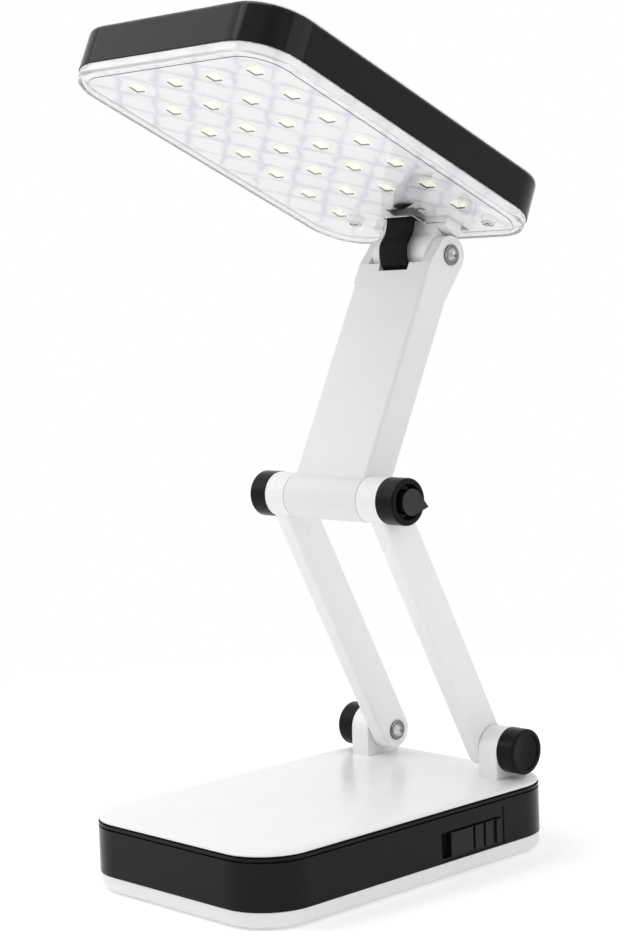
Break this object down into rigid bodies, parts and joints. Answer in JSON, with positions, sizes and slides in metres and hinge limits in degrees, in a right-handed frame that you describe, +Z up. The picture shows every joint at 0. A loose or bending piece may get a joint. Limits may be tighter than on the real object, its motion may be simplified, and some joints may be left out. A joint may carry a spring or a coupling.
{
  "type": "accordion desk lamp",
  "caption": "Folding desk lamp: flat base with slide switch, twin legs, folding arm and a flat LED head, joined by stacked friction hinges.",
  "frame": {"origin": "on the table under the centre of the base's footprint", "axes": "+X to the side with the slide switch, -Y to the front that the head reaches over, +Z up"},
  "size_m": [0.14, 0.2029, 0.4024],
  "materials": {
    "white_plastic": "satin",
    "black_gloss": "gloss",
    "black_plastic": "satin",
    "clear_plastic": "clear",
    "white_sheet": "satin",
    "steel": "satin",
    "rubber": "matte",
    "board_green": "matte",
    "board_white": "matte",
    "led": "matte",
    "cell_wrap": "satin",
    "cable_black": "matte"
  },
  "bodies": {
    "base": {"base_tray": "white_plastic", "rubber_feet": "rubber", "base_screws": "steel", "base_band": "black_gloss", "base_cover": "white_plastic", "battery": "cell_wrap", "circuit_board": "board_green", "board_screws": "steel", "board_components": "black_plastic", "slide_switch": "black_plastic", "charging_inlet": "black_plastic", "base_cable": "cable_black", "battery_leads": "cable_black", "base_cap_right": "black_plastic", "base_cap_left": "black_plastic", "base_pins": "steel", "base_washers": "steel"},
    "switch_thumb": {"switch_thumb_piece": "black_plastic"},
    "legs": {"leg_right": "white_plastic", "leg_left": "white_plastic", "leg_cover_right": "white_plastic", "leg_cover_left": "white_plastic", "leg_cable": "cable_black", "mid_axle": "steel", "mid_nut": "steel", "mid_washer": "steel", "mid_cap_left": "black_plastic", "mid_cap_right": "black_plastic"},
    "knob": {"friction_knob": "black_plastic"},
    "arm": {"arm_shell": "white_plastic", "arm_rear_cover": "white_plastic", "arm_screws": "steel", "arm_cable": "cable_black", "cable_strap": "cable_black", "head_pins": "steel"},
    "head": {"head_bracket": "white_plastic", "bracket_screws": "steel", "head_band": "black_gloss", "head_cover": "white_plastic", "lens": "clear_plastic", "lens_screws": "steel", "reflector_sheet": "white_sheet", "led_board": "board_white", "led_board_screws": "steel", "leds": "led"}
  },
  "joints": [
    {"name": "base_hinge", "type": "hinge", "parent": "base", "child": "legs", "pos_m": [0, 0.082, 0.0484], "axis": [1, 0, 0], "range_deg": [-30, 62.6]},
    {"name": "mid_hinge", "type": "hinge", "parent": "legs", "child": "arm", "pos_m": [0, 0.01504, 0.17758], "axis": [-1, 0, 0], "range_deg": [-50, 110]},
    {"name": "head_hinge", "type": "hinge", "parent": "arm", "child": "head", "pos_m": [0, 0.07692, 0.29233], "axis": [1, 0, 0], "range_deg": [-35, 85], "deforming": ["cable_strap"]},
    {"name": "switch_slide", "type": "slide", "parent": "base", "child": "switch_thumb", "axis": [0, 1, 0], "range_m": [-0.0045, 0]},
    {"name": "knob_turn", "type": "hinge", "parent": "legs", "child": "knob", "pos_m": [0.0378, 0.01504, 0.17758], "axis": [1, 0, 0], "range_deg": [-90, 90]}
  ]
}
